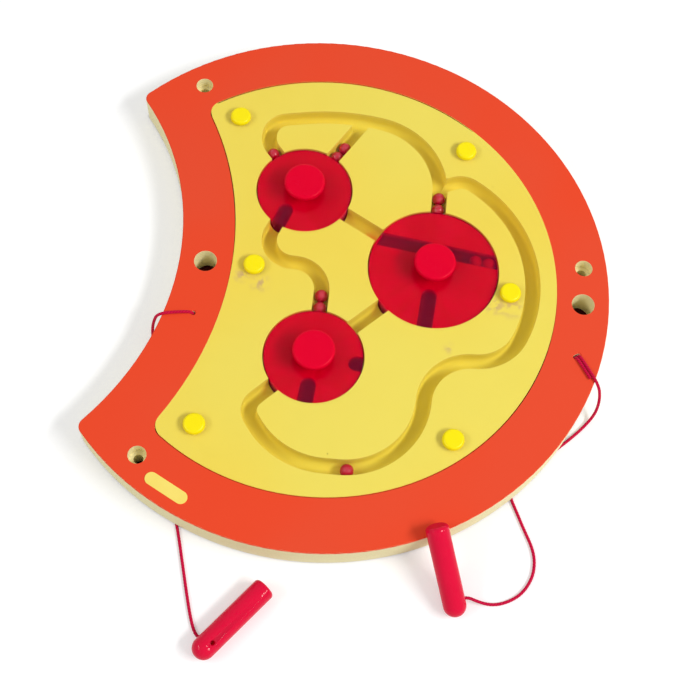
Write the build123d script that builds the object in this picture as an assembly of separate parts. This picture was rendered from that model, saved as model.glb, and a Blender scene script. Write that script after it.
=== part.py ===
from build123d import *
import os
from math import asin, atan2, cos, degrees, pi, radians, sin, sqrt, tan

# Wall maze toy: a crescent plywood panel with a routed yellow maze under a clear cover,
# three slotted turntables with knobs, ten balls and two magnet wands on cords.
# Millimetres. Origin on the wall plane, on the axis of the panel's big outer arc.
# +Z points out of the wall, the crescent's bite is on -X, +Y is up on the wall.

# panel outline
outer_radius = 275.0
bite_radius = 280.0
bite_edge_offset = 141.5
rim_width = 50.5
tip_round = 9.0
field_tip_round = 13.0
inlay_gap = 0.8
board_edge_round = 1.0

# thicknesses, from the wall outwards
pad_thickness = 4.0
back_board_thickness = 9.0
front_board_thickness = 21.0
cover_thickness = 3.0
cover_edge_chamfer = 0.5

# balls and the grooves that they run in
ball_diameter = 12.7
ball_side_play = 1.15
ball_seat_gap = 0.3
ball_head_room = 0.5
ball_spacing = 13.3
ball_to_disc_gap = 1.5

# turntables
small_disc_radius = 46.75
large_disc_radius = 62.9
pocket_gap = 1.1
plate_thickness = 2.5
plate_cover_gap = 0.5
slot_start_radius = 29.0
short_slot_start_radius = 40.5
chord_slot_offset = 22.0
plate_edge_round = 0.5

# knobs
knob_diameter = 40.0
knob_stem_diameter = 22.0
knob_cap_height = 7.0
knob_top_height = 17.0
knob_edge_round = 2.6
knob_neck_round = 2.0
knob_cover_clearance = 2.0

# axle bolts, their bushes, washers and inserts
bolt_diameter = 8.0
bolt_head_diameter = 15.0
bolt_head_height = 3.2
bolt_end_below_knob_top = 8.0
bolt_recess_radius = 13.0
bolt_recess_depth = 5.0
bolt_key_width = 5.0
bolt_end_chamfer = 0.8
bearing_clearance = 0.05
bush_wall = 2.0
bush_flange_diameter = 26.0
bush_flange_thickness = 0.8
disc_bore_clearance = 0.1
washer_diameter = 16.0
washer_thickness = 1.0
stack_gap = 0.1
insert_diameter = 11.0
insert_length = 9.0
insert_groove = 1.2

# cover screws with their cup washers and snap caps
cap_diameter = 20.5
cap_height = 4.6
cap_edge_round = 2.8
cap_clearance = 0.2
cup_diameter = 14.0
cup_floor = 0.6
screw_head_diameter = 8.0
screw_head_height = 2.0
screw_shank_diameter = 3.5
screw_length = 16.0
screw_hole_clearance = 0.4

# wall mounting holes, spacers and pads
wall_hole_rim_offsets = [0.6, 0.6, 2.4]
wall_hole_diameter = 9.0
wall_counterbore_diameter = 17.0
wall_counterbore_depth = 12.0
spacer_diameter = 24.0
pad_diameter = 24.0
pad_edge_round = 0.8
spacer_bore_clearance = 0.5

# wands and their holders
wand_diameter = 21.0
wand_length = 85.0
wand_edge_round = 3.5
holder_diameter = 22.0
magnet_diameter = 12.0
magnet_thickness = 4.0
magnet_fit = 0.1
wand_rest_gap = 0.3
wand_hole_diameter = 5.0
wand_hole_from_dome_centre = 4.6
wand_hole_floor = 0.75

# cords and knots
cord_diameter = 3.0
cord_hole_clearance = 0.5
cord_hole_offset = 1.9
cord_mouth_ease = 1.0
cord_stub_end_below_face = 5.4
knot_diameter = 8.4
knot_recess_gap = 1.0
knot_seat_gap = 0.3
strand_pitch = 3.4
bend_share = 0.45
right_cord_heading = -56.5

# blank name badge
badge_length = 44.0
badge_width = 12.0
badge_thickness = 0.6
badge_inset = 17.0

# places given as angles, in degrees
wall_hole_angles = [126.1, -126.1, 8.6]
right_holder_angle = -0.4
left_cord_hole_angle = -10.5
right_cord_hole_angle = -13.0
badge_angle = -116.9
upper_slot_start_angle = 236.2
upper_slot_heading = 252.8
lower_slot_angle = 266.3
lower_short_slot_angle = -3.0
large_slot_angle = 266.3
large_chord_angle = -6.3
branch_angle = 59.5
upper_left_mouth_angle = 130.7
lower_left_mouth_angle = 239.5
lower_disc_left_mouth_angle = 224.0
wand_heading_left = 51.8
wand_heading_right = 112.6
left_wand_hole_roll = 42.0
right_wand_hole_roll = 80.0
bottom_ball_angle = -82.3

# places given as shares of the outer radius
upper_disc_shares = (-0.1127, 0.3333)
large_disc_shares = (0.3756, 0.0691)
lower_disc_shares = (-0.0058, -0.3153)
cap_place_shares = [
    (-0.3818, 0.6055),
    (0.4582, 0.5636),
    (-0.2509, 0.0),
    (0.6491, 0.0),
    (-0.3673, -0.6127),
    (0.4873, -0.5673),
]
left_wand_shares = (-0.2353, -1.3124)
right_wand_shares = (0.5396, -1.0909)
pad_place_shares = [(0.0, 0.0), (0.6255, 0.6255), (0.6255, -0.6255)]

# groove corners and their bend radii, as shares of the outer radius
top_loop_shares = [(-0.2680, 0.5138), (-0.2680, 0.6113), (-0.0108, 0.6695), (0.3756, 0.6178)]
top_loop_bend_shares = [0.0909, 0.0727, 0.7745, 0.2767]
branch_end_share = 0.374
right_loop_shares = [
    (0.3756, 0.4055),
    (0.4604, 0.4451),
    (0.8542, 0.2178),
    (0.6509, -0.2644),
    (0.3815, -0.2798),
    (0.3787, -0.6960),
    (-0.0880, -0.7055),
    (-0.2130, -0.5250),
]
right_loop_bend_shares = [0.0727, 0.4709, 0.1673, 0.1636, 0.2673, 0.2927, 0.0545]
middle_loop_shares = [(-0.2130, 0.1382), (-0.2130, 0.0320), (-0.0058, 0.0320)]
middle_loop_bend_shares = [0.0800, 0.0887, 0.1018]

# places in the panel
wall_level = 0.0
back_level = wall_level + pad_thickness
joint_level = back_level + back_board_thickness
face_level = joint_level + front_board_thickness
cover_level = face_level + cover_thickness
groove_width = ball_diameter + 2 * ball_side_play
plate_level = face_level - plate_cover_gap
disc_top_level = plate_level - plate_thickness
groove_floor = disc_top_level - ball_head_room - ball_diameter - ball_seat_gap
disc_bottom_level = joint_level + bush_flange_thickness + stack_gap
ball_level = groove_floor + ball_seat_gap + ball_diameter / 2
bite_distance = bite_radius + bite_edge_offset
rim_middle_radius = outer_radius - rim_width / 2
bite_rim_middle_radius = bite_radius + rim_width / 2
knob_top_level = face_level + knob_top_height
knob_cap_level = knob_top_level - knob_cap_height
cover_hole_diameter = knob_stem_diameter + 2 * knob_cover_clearance
bush_diameter = bolt_diameter + 2 * bearing_clearance + 2 * bush_wall
washer_level = back_level + bolt_recess_depth - stack_gap - washer_thickness
bolt_head_level = washer_level - bolt_head_height
bolt_end_level = knob_top_level - bolt_end_below_knob_top
insert_level = plate_level + stack_gap
cup_height = cup_floor + screw_head_height
screw_pilot_diameter = screw_shank_diameter + stack_gap
screw_tip_level = cover_level + cup_floor - screw_length
cord_hole_diameter = cord_diameter + 2 * cord_hole_clearance
double_hole_length = cord_hole_diameter + strand_pitch
knot_recess_diameter = knot_diameter + 2 * knot_recess_gap
double_knot_recess = knot_recess_diameter + strand_pitch
cord_stub_level = face_level - cord_stub_end_below_face
overrun = 2.0
below_back = back_level - overrun
below_joint = joint_level - overrun
above_face = face_level + overrun


def scaled(shares):
    return (shares[0] * outer_radius, shares[1] * outer_radius)


def polar(radius, angle, centre=(0, 0)):
    return (centre[0] + radius * cos(radians(angle)), centre[1] + radius * sin(radians(angle)))


def at(place, level):
    return Pos(place[0], place[1], level)


upper_disc = scaled(upper_disc_shares)
large_disc = scaled(large_disc_shares)
lower_disc = scaled(lower_disc_shares)
cap_places = [scaled(place) for place in cap_place_shares]
pad_places = [scaled(place) for place in pad_place_shares]
wall_hole_places = [
    polar(rim_middle_radius + offset, angle)
    for offset, angle in zip(wall_hole_rim_offsets, wall_hole_angles)
]
bite_centre = (-bite_distance, 0)
left_holder = polar(bite_rim_middle_radius, 0, bite_centre)
right_holder = polar(rim_middle_radius, right_holder_angle)
left_cord_hole = polar(bite_rim_middle_radius + cord_hole_offset, left_cord_hole_angle, bite_centre)
right_cord_hole = polar(rim_middle_radius + cord_hole_offset, right_cord_hole_angle)
badge_place = polar(outer_radius - badge_inset, badge_angle)
disc_places = {"upper": upper_disc, "large": large_disc, "lower": lower_disc}
disc_radii = {"upper": small_disc_radius, "large": large_disc_radius, "lower": small_disc_radius}


def angle_between(start, end):
    return degrees(atan2(end[1] - start[1], end[0] - start[0]))


upper_to_large_angle = angle_between(upper_disc, large_disc)
lower_to_large_angle = angle_between(lower_disc, large_disc)


def crescent_face(radius, bite, corner_round):
    """The outline: a big arc, a bite arc and two rounded tips."""
    tip_x = (radius**2 - bite**2 + bite_distance**2) / (-2 * bite_distance)
    tip_y = sqrt(radius**2 - tip_x**2)
    outer_arc = ThreePointArc((tip_x, tip_y), (radius, 0), (tip_x, -tip_y))
    bite_arc = ThreePointArc((tip_x, -tip_y), (bite - bite_distance, 0), (tip_x, tip_y))
    face = make_face([outer_arc.edge(), bite_arc.edge()]).face()
    return face.fillet_2d(corner_round, face.vertices())


def crescent_board(radius, bite, corner_round, low, high):
    return Pos(0, 0, low) * extrude(crescent_face(radius, bite, corner_round), high - low)


def hole(place, diameter, low, high):
    height = high - low
    return at(place, low) * Cylinder(diameter / 2, height, align=(Align.CENTER, Align.CENTER, Align.MIN))


def disc(place, radius, low, high):
    return hole(place, 2 * radius, low, high)


def groove_section(origin, direction, width, floor, top):
    """A round-bottomed router section, upright, across the start of a groove."""
    radius = width / 2
    side = Vector(0, 0, 1).cross(direction)
    plane = Plane(origin=origin, x_dir=side, z_dir=direction)
    depth = top - floor
    left = Line((-radius, overrun), (-radius, radius - depth))
    bottom = ThreePointArc((-radius, radius - depth), (0, -depth), (radius, radius - depth))
    right = Line((radius, radius - depth), (radius, overrun))
    lid = Line((radius, overrun), (-radius, overrun))
    return plane * make_face([left.edge(), bottom.edge(), right.edge(), lid.edge()])


def routed_groove(points, bends, width, floor, top):
    """What the cutter takes away along a route of straight runs and tangent arcs."""
    corners = [Vector(x, y, top) for x, y in points]
    if bends:
        route = FilletPolyline(*corners, radius=bends).wire()
    else:
        route = Wire([Line(corners[0], corners[-1]).edge()])
    section = groove_section(route @ 0, route % 0, width, floor, top)
    return sweep(section, path=route)


def round_groove_end(place, width, floor, top):
    radius = width / 2
    shaft = disc(place, radius, floor + radius, top + overrun)
    return shaft + at(place, floor + radius) * Sphere(radius)


def maze_routes():
    """Each groove's corner points and bend radii."""
    inside = small_disc_radius - groove_width / 2
    inside_large = large_disc_radius - groove_width / 2
    top_loop = [polar(inside, upper_left_mouth_angle, upper_disc)]
    top_loop += [scaled(place) for place in top_loop_shares]
    top_loop.append(polar(inside_large, 90, large_disc))
    right_loop = [scaled(place) for place in right_loop_shares]
    right_loop.append(polar(inside, lower_disc_left_mouth_angle, lower_disc))
    middle_loop = [polar(inside, lower_left_mouth_angle, upper_disc)]
    middle_loop += [scaled(place) for place in middle_loop_shares]
    middle_loop.append(polar(inside, 90, lower_disc))
    branch_end = polar(branch_end_share * outer_radius, branch_angle, upper_disc)
    return [
        (top_loop, [share * outer_radius for share in top_loop_bend_shares]),
        (right_loop, [share * outer_radius for share in right_loop_bend_shares]),
        (middle_loop, [share * outer_radius for share in middle_loop_bend_shares]),
        ([polar(inside, branch_angle, upper_disc), branch_end], []),
        (
            [
                polar(inside, upper_to_large_angle, upper_disc),
                polar(inside_large, upper_to_large_angle + 180, large_disc),
            ],
            [],
        ),
        (
            [
                polar(inside, lower_to_large_angle, lower_disc),
                polar(inside_large, lower_to_large_angle + 180, large_disc),
            ],
            [],
        ),
    ]


def bend(points, index, radius):
    """The start, centre and end of the arc that rounds one corner of a route."""
    corner = Vector(*points[index])
    back = (Vector(*points[index - 1]) - corner).normalized()
    ahead = (Vector(*points[index + 1]) - corner).normalized()
    half_turn = (180 - back.get_angle(ahead)) / 2
    reach = radius * tan(radians(half_turn))
    centre = corner + (back + ahead).normalized() * (radius / cos(radians(half_turn)))
    return corner + back * reach, centre, corner + ahead * reach


routes = maze_routes()
top_route, top_bends = routes[0]
right_route, right_bends = routes[1]
middle_route, middle_bends = routes[2]
left_bend = bend(top_route, 1, top_bends[0])
top_right_bend = bend(top_route, len(top_route) - 2, top_bends[-1])
middle_bend = bend(middle_route, len(middle_route) - 2, middle_bends[-1])
bottom_bend = bend(right_route, 5, right_bends[4])
ball_reach = small_disc_radius + ball_to_disc_gap + ball_diameter / 2
chord_end_play = sqrt((large_disc_radius - ball_diameter / 2) ** 2 - chord_slot_offset**2)
chord_middle = polar(chord_slot_offset, large_chord_angle + 90, large_disc)


def along_chord(distance):
    return polar(distance, large_chord_angle, chord_middle)


def ball_places():
    """Where the balls lie, in the order of their numbers."""
    top_right = (top_right_bend[2].X, top_right_bend[2].Y)
    middle = (middle_bend[2].X, middle_bend[2].Y)
    bottom_centre = (bottom_bend[1].X, bottom_bend[1].Y)
    return [
        (left_bend[0].X, left_bend[0].Y),
        polar(ball_reach + ball_spacing, branch_angle, upper_disc),
        polar(ball_reach, branch_angle, upper_disc),
        top_right,
        (top_right[0], top_right[1] - ball_spacing),
        along_chord(chord_end_play - ball_spacing),
        along_chord(chord_end_play),
        middle,
        (middle[0], middle[1] - ball_spacing),
        polar(right_bends[4], bottom_ball_angle, bottom_centre),
    ]


def drill_all(board, places, diameter, low, high):
    for place in places:
        board -= hole(place, diameter, low - overrun, high + overrun)
    return board


def countersunk(board, place, diameter):
    """A cord hole with its mouth eased where the cord turns on to the face."""
    board = drill_all(board, [place], diameter, joint_level, face_level)
    flare = cord_mouth_ease + overrun
    ease = Cone(diameter / 2, diameter / 2 + flare, flare, align=(Align.CENTER, Align.CENTER, Align.MIN))
    return board - at(place, face_level - cord_mouth_ease) * ease


def back_board():
    board = crescent_board(outer_radius, bite_radius, tip_round, back_level, joint_level)
    board = drill_all(board, wall_hole_places, wall_hole_diameter, back_level, joint_level)
    board = drill_all(board, [left_holder, right_holder], holder_diameter, back_level, joint_level)
    board = drill_all(board, disc_places.values(), bush_diameter, back_level, joint_level)
    for place in disc_places.values():
        board -= disc(place, bolt_recess_radius, below_back, back_level + bolt_recess_depth)
    recess_top = joint_level + overrun
    board -= hole(left_cord_hole, knot_recess_diameter, below_back, recess_top)
    board -= double_slot(double_knot_recess, knot_recess_diameter, below_back, recess_top)
    return board


def double_slot(length, width, low, high):
    """An upright slot for the two strands of the right cord, across their heading."""
    outline = Rot(0, 0, right_cord_heading + 90) * SlotOverall(length, width)
    return at(right_cord_hole, low) * extrude(outline, high - low)


def frame_board():
    board = crescent_board(outer_radius, bite_radius, tip_round, joint_level, face_level)
    rim = board.edges().group_by(Axis.Z)[-1]
    board = fillet(rim, board_edge_round)
    inner_radius = outer_radius - rim_width
    inner_bite = bite_radius + rim_width
    inner_round = field_tip_round + inlay_gap
    board -= crescent_board(inner_radius, inner_bite, inner_round, below_joint, above_face)
    board = drill_all(board, wall_hole_places, wall_hole_diameter, joint_level, face_level)
    board = drill_all(board, [left_holder, right_holder], holder_diameter, joint_level, face_level)
    counterbore_level = face_level - wall_counterbore_depth
    for place in wall_hole_places:
        board -= hole(place, wall_counterbore_diameter, counterbore_level, above_face)
    board = countersunk(board, left_cord_hole, cord_hole_diameter)
    board -= double_slot(double_hole_length, cord_hole_diameter, below_joint, above_face)
    outline = Rot(0, 0, right_cord_heading + 90) * SlotOverall(double_hole_length, cord_hole_diameter)
    ease = extrude(outline, cord_mouth_ease + overrun, taper=-45)
    return board - at(right_cord_hole, face_level - cord_mouth_ease) * ease


def field_board(low, high):
    """The shape that the yellow inlay and its clear cover share."""
    radius = outer_radius - rim_width - inlay_gap
    bite = bite_radius + rim_width + inlay_gap
    return crescent_board(radius, bite, field_tip_round, low, high)


def maze_board():
    board = field_board(joint_level, face_level)
    for points, bends in routes:
        board -= routed_groove(points, bends, groove_width, groove_floor, face_level)
    for name, place in disc_places.items():
        board -= disc(place, disc_radii[name] + pocket_gap, below_joint, above_face)
    for place in cap_places:
        board -= hole(place, screw_pilot_diameter, screw_tip_level - overrun, above_face)
    return board


def clear_cover():
    sheet = field_board(face_level, cover_level)
    rim = sheet.edges().group_by(Axis.Z)[-1]
    sheet = chamfer(rim, cover_edge_chamfer)
    sheet = drill_all(sheet, disc_places.values(), cover_hole_diameter, face_level, cover_level)
    screw_hole = screw_shank_diameter + screw_hole_clearance
    return drill_all(sheet, cap_places, screw_hole, face_level, cover_level)


def cover_screw():
    head = hole((0, 0), screw_head_diameter, 0, screw_head_height)
    head = fillet(head.edges().group_by(Axis.Z)[-1], screw_head_height / 3)
    shank_length = screw_length - screw_shank_diameter / 2
    shank = hole((0, 0), screw_shank_diameter, -shank_length, 0)
    tip_length = screw_length - shank_length
    point = Cone(0, screw_shank_diameter / 2, tip_length, align=(Align.CENTER, Align.CENTER, Align.MIN))
    point = Pos(0, 0, -screw_length) * point
    drive = extrude(RegularPolygon(screw_head_diameter / 4, 6), screw_head_height / 2)
    return head + shank + point - Pos(0, 0, screw_head_height / 2) * drive


def cup_washer():
    ring = hole((0, 0), cup_diameter, 0, cup_height)
    ring = fillet(ring.edges().group_by(Axis.Z)[-1], cup_floor / 2)
    ring -= hole((0, 0), screw_head_diameter + screw_hole_clearance, cup_floor, cup_height + overrun)
    return ring - hole((0, 0), screw_shank_diameter + screw_hole_clearance, -overrun, cup_height)


def snap_cap():
    dome = hole((0, 0), cap_diameter, 0, cap_height)
    dome = fillet(dome.edges().group_by(Axis.Z)[-1], cap_edge_round)
    return dome - hole((0, 0), cup_diameter + 2 * cap_clearance, -overrun, cup_height + cap_clearance)


def repeated(piece, places, level):
    return Compound(children=[at(place, level) * piece for place in places])


def axle_bush():
    """A flanged sleeve that lines the back board's web, with the disc riding on its flange."""
    barrel_low = back_level + bolt_recess_depth
    bush = hole((0, 0), bush_diameter, barrel_low, joint_level)
    flange = hole((0, 0), bush_flange_diameter, joint_level, joint_level + bush_flange_thickness)
    bore = bolt_diameter + 2 * bearing_clearance
    return bush + flange - hole((0, 0), bore, barrel_low - overrun, joint_level + overrun)


def wall_spacer():
    ring = hole((0, 0), spacer_diameter, 0, pad_thickness)
    ring = fillet(ring.edges().group_by(Axis.Z)[0].sort_by(SortBy.LENGTH)[-1], pad_edge_round)
    bore = wall_hole_diameter + 2 * spacer_bore_clearance
    return ring - hole((0, 0), bore, -overrun, pad_thickness + overrun)


def wall_pad():
    pad = hole((0, 0), pad_diameter, 0, pad_thickness)
    return fillet(pad.edges().group_by(Axis.Z)[0], pad_edge_round)


def blank_badge():
    outline = Rot(0, 0, badge_angle + 90) * SlotOverall(badge_length, badge_width)
    return at(badge_place, face_level) * extrude(outline, badge_thickness)


def slot_cut(start, heading, length):
    end = polar(length, heading, start)
    cut = routed_groove([start, end], [], groove_width, groove_floor, disc_top_level)
    return cut + round_groove_end(start, groove_width, groove_floor, disc_top_level)


def turntable_disc(name):
    place = disc_places[name]
    radius = disc_radii[name]
    body = disc(place, radius, disc_bottom_level, disc_top_level)
    body -= hole(place, bolt_diameter + 2 * disc_bore_clearance, joint_level, face_level)
    if name == "upper":
        start = polar(slot_start_radius, upper_slot_start_angle, place)
        body -= slot_cut(start, upper_slot_heading, radius)
    if name == "large":
        start = polar(slot_start_radius, large_slot_angle, place)
        body -= slot_cut(start, large_slot_angle, radius)
        chord = [along_chord(-radius), along_chord(radius)]
        body -= routed_groove(chord, [], groove_width, groove_floor, disc_top_level)
    if name == "lower":
        start = polar(slot_start_radius, lower_slot_angle, place)
        body -= slot_cut(start, lower_slot_angle, radius)
        start = polar(short_slot_start_radius, lower_short_slot_angle, place)
        body -= slot_cut(start, lower_short_slot_angle, radius)
    return body


def turntable_plate(name):
    plate = disc(disc_places[name], disc_radii[name], disc_top_level, plate_level)
    plate = fillet(plate.edges().group_by(Axis.Z)[-1], plate_edge_round)
    bore = bolt_diameter + 2 * disc_bore_clearance
    return plate - hole(disc_places[name], bore, disc_top_level - overrun, plate_level + overrun)


def knob():
    stem = hole((0, 0), knob_stem_diameter, plate_level, knob_cap_level)
    cap = hole((0, 0), knob_diameter, knob_cap_level, knob_top_level)
    cap = fillet(cap.edges().filter_by(GeomType.CIRCLE), knob_edge_round)
    whole = stem + cap
    rings = whole.edges().filter_by(GeomType.CIRCLE).sort_by(Axis.Z)
    neck = [ring for ring in rings if abs(2 * ring.radius - knob_stem_diameter) < stack_gap][-1]
    whole = fillet(neck, knob_neck_round)
    whole -= hole((0, 0), insert_diameter, plate_level - overrun, insert_level + insert_length)
    bore = bolt_diameter + 2 * disc_bore_clearance
    return whole - hole((0, 0), bore, plate_level, bolt_end_level + stack_gap)


def knob_insert():
    """A threaded brass sleeve in the knob's stem, with a groove round its middle."""
    sleeve = hole((0, 0), insert_diameter, insert_level, insert_level + insert_length)
    middle = insert_level + insert_length / 2
    groove = hole((0, 0), insert_diameter + overrun, middle - insert_groove / 2, middle + insert_groove / 2)
    groove -= hole((0, 0), insert_diameter - 2 * insert_groove, plate_level, knob_cap_level)
    sleeve -= groove
    return sleeve - hole((0, 0), bolt_diameter, plate_level - overrun, knob_top_level)


def axle_bolt():
    head = hole((0, 0), bolt_head_diameter, bolt_head_level, bolt_head_level + bolt_head_height)
    head = fillet(head.edges().group_by(Axis.Z)[0], bolt_head_height / 4)
    shank = hole((0, 0), bolt_diameter, bolt_head_level + bolt_head_height, bolt_end_level)
    shank = chamfer(shank.edges().group_by(Axis.Z)[-1], bolt_end_chamfer)
    key = extrude(RegularPolygon(bolt_key_width / sqrt(3), 6), bolt_head_height / 2 + overrun)
    return head + shank - Pos(0, 0, bolt_head_level - overrun) * key


def axle_washer():
    ring = hole((0, 0), washer_diameter, washer_level, washer_level + washer_thickness)
    return ring - hole((0, 0), bolt_diameter + 2 * disc_bore_clearance, back_level, joint_level)


def ball(place):
    return at(place, ball_level) * Sphere(ball_diameter / 2)


def rim_lean(place, heading):
    """How far a wand tips up when it lies from the floor against the panel's edge."""
    edge_radius = outer_radius - board_edge_round
    along = -(place[0] * cos(radians(heading)) + place[1] * sin(radians(heading)))
    square = place[0] ** 2 + place[1] ** 2 - edge_radius**2
    run = along - sqrt(along**2 - square)
    rise = face_level - board_edge_round - wand_diameter / 2
    clear = wand_diameter / 2 + board_edge_round + wand_rest_gap
    return degrees(atan2(rise, run) + asin(clear / sqrt(run**2 + rise**2)))


wand_headings = {"left": wand_heading_left, "right": wand_heading_right}
wand_cord_sides = {"left": -1, "right": 1}
wand_hole_rolls = {"left": left_wand_hole_roll, "right": right_wand_hole_roll}
left_dome = scaled(left_wand_shares)
right_dome = scaled(right_wand_shares)
wand_leans = {"left": 0, "right": rim_lean(right_dome, wand_heading_right)}
wand_dome_places = {
    "left": Vector(left_dome[0], left_dome[1], wand_diameter / 2),
    "right": Vector(right_dome[0], right_dome[1], wand_diameter / 2),
}


def wand_plane(name):
    """The wand's own axis, from the centre of its dome to its flat end."""
    return Plane(origin=wand_dome_places[name], x_dir=wand_side(name), z_dir=wand_axis(name))


def wand_side(name):
    heading = wand_headings[name]
    return Vector(sin(radians(heading)), -cos(radians(heading)), 0)


def wand_axis(name):
    heading = radians(wand_headings[name])
    lean = radians(wand_leans[name])
    return Vector(cos(lean) * cos(heading), cos(lean) * sin(heading), sin(lean))


def wand(name):
    radius = wand_diameter / 2
    shaft_length = wand_length - radius
    body = hole((0, 0), wand_diameter, 0, shaft_length)
    body = fillet(body.edges().group_by(Axis.Z)[-1], wand_edge_round)
    body += Sphere(radius)
    seat = shaft_length - magnet_thickness - magnet_fit
    body -= hole((0, 0), magnet_diameter + 2 * magnet_fit, seat, shaft_length + overrun)
    body = wand_plane(name) * body
    return body - wand_hole_plane(name) * hole((0, 0), wand_hole_diameter, wand_hole_floor, wand_diameter)


def wand_hole_centre(name):
    return wand_dome_places[name] + wand_axis(name) * wand_hole_from_dome_centre


def wand_hole_direction(name):
    """From the wand's axis out to the side where the cord goes in."""
    side = wand_side(name) * wand_cord_sides[name]
    down = wand_side(name).cross(wand_axis(name)).normalized()
    if down.Z > 0:
        down = down * -1
    roll = radians(wand_hole_rolls[name])
    return side * sin(roll) + down * cos(roll)


def wand_hole_plane(name):
    return Plane(origin=wand_hole_centre(name), z_dir=wand_hole_direction(name))


def wand_magnet(name):
    level = wand_length - wand_diameter / 2 - magnet_thickness
    disc_magnet = hole((0, 0), magnet_diameter, level, level + magnet_thickness)
    return wand_plane(name) * disc_magnet


# each cord's route from its hole in the panel to its wand, as chosen points
left_cord_points = [
    (-119.5, -56.1, 28.6),
    (-119.5, -56.1, 35.6),
    (-131.4, -57.3, 35.6),
    (-151.9, -61.9, 36.3),
    (-157.1, -64.5, 22.0),
    (-158.8, -68.5, 9.0),
    (-156.9, -77.3, 1.7),
    (-153.0, -97.5, 1.6),
    (-144.0, -136.5, 1.6),
    (-132.5, -178.5, 1.6),
    (-119.8, -217.0, 1.6),
    (-105.9, -253.3, 1.6),
    (-95.8, -286.8, 1.6),
    (-87.8, -313.6, 1.6),
    (-80.7, -335.8, 1.6),
    (-74.8, -348.8, 1.6),
    (-68.2, -352.3, 1.6),
    (-62.3, -356.9, 9.9),
]
right_cord_points = [
    (246.6, -55.8, 28.6),
    (246.6, -55.8, 35.6),
    (253.4, -65.7, 35.6),
    (266.2, -85.4, 36.3),
    (270.3, -93.5, 22.5),
    (269.8, -101.0, 9.0),
    (264.8, -108.6, 1.7),
    (252.3, -123.6, 1.6),
    (228.0, -147.0, 1.6),
    (204.0, -164.5, 1.6),
    (192.5, -179.0, 1.6),
    (193.5, -192.0, 1.6),
    (199.8, -204.9, 1.6),
    (208.1, -222.5, 1.6),
    (216.2, -238.0, 1.6),
    (219.1, -251.7, 1.6),
    (217.1, -266.3, 1.6),
    (208.7, -281.0, 1.6),
    (196.0, -290.1, 1.6),
    (183.4, -294.1, 1.6),
    (170.9, -293.7, 4.8),
    (157.3, -290.9, 11.1),
    (147.6, -296.0, 12.7),
]
right_tail_points = [
    (243.8, -57.7, 28.6),
    (243.8, -57.7, 35.6),
    (251.1, -68.4, 35.6),
    (258.1, -79.2, 35.6),
]


def cord_radii(points):
    """Each bend takes the same share of the shorter of its two runs."""
    corners = [Vector(*point) for point in points]
    radii = []
    for before, corner, after in zip(corners, corners[1:], corners[2:]):
        back = before - corner
        ahead = after - corner
        half_turn = (180 - back.get_angle(ahead)) / 2
        shorter = min(back.length, ahead.length)
        radii.append(bend_share * shorter / tan(radians(half_turn)))
    return radii


def cord_tube(name, points):
    radii = cord_radii(points)
    route = FilletPolyline(*[Vector(*point) for point in points], radius=radii).wire()
    section = Plane(origin=route @ 0, z_dir=route % 0) * Circle(cord_diameter / 2)
    tube = sweep(section, path=route)
    plain_volume = pi * (cord_diameter / 2) ** 2 * route.length
    print(name, "length", round(route.length, 1), "volume ratio", round(tube.volume / plain_volume, 4))
    print(name, "radii", [round(radius, 1) for radius in radii])
    return tube


def knot(strands, level):
    """The knot that holds a cord in the back of the panel, with its ends up through the holes."""
    radius = knot_diameter / 2
    flat_height = sqrt(radius**2 - cord_diameter**2 / 2)
    centre_level = joint_level - knot_seat_gap - flat_height
    lump = at(strands[0], centre_level) * Sphere(radius)
    for strand in strands[1:]:
        span = Vector(strand[0] - strands[0][0], strand[1] - strands[0][1], 0)
        start = Vector(strands[0][0], strands[0][1], centre_level)
        bridge = Cylinder(radius, span.length, align=(Align.CENTER, Align.CENTER, Align.MIN))
        lump += Plane(origin=start, z_dir=span.normalized()) * bridge
        lump += at(strand, centre_level) * Sphere(radius)
    lid_level = joint_level - knot_seat_gap
    lid = disc(strands[0], outer_radius, lid_level, lid_level + knot_diameter)
    lump -= lid
    for strand in strands:
        lump += disc(strand, cord_diameter / 2, centre_level, level)
    return lump


def build():
    pieces = {
        "back_board": back_board(),
        "frame_board": frame_board(),
        "maze_board": maze_board(),
        "clear_cover": clear_cover(),
        "cover_screws": repeated(cover_screw(), cap_places, cover_level + cup_floor),
        "cup_washers": repeated(cup_washer(), cap_places, cover_level),
        "snap_caps": repeated(snap_cap(), cap_places, cover_level),
        "axle_bushes": repeated(axle_bush(), disc_places.values(), wall_level),
        "wall_spacers": repeated(wall_spacer(), wall_hole_places, wall_level),
        "wall_pads": repeated(wall_pad(), pad_places, wall_level),
        "blank_badge": blank_badge(),
        "left_cord": cord_tube("left_cord", left_cord_points),
        "right_cord": cord_tube("right_cord", right_cord_points),
        "right_cord_tail": cord_tube("right_cord_tail", right_tail_points),
        "left_cord_knot": knot([left_cord_points[0]], cord_stub_level),
        "right_cord_knot": knot([right_cord_points[0], right_tail_points[0]], cord_stub_level),
    }
    for name, place in disc_places.items():
        pieces[name + "_turntable_disc"] = turntable_disc(name)
        pieces[name + "_turntable_plate"] = turntable_plate(name)
        pieces[name + "_knob"] = at(place, 0) * knob()
        pieces[name + "_knob_insert"] = at(place, 0) * knob_insert()
        pieces[name + "_axle_bolt"] = at(place, 0) * axle_bolt()
        pieces[name + "_axle_washer"] = at(place, 0) * axle_washer()
    for number, place in enumerate(ball_places(), start=1):
        pieces["ball_" + str(number)] = ball(place)
    for name in wand_headings:
        pieces[name + "_wand"] = wand(name)
        pieces[name + "_wand_magnet"] = wand_magnet(name)
    return pieces


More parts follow.
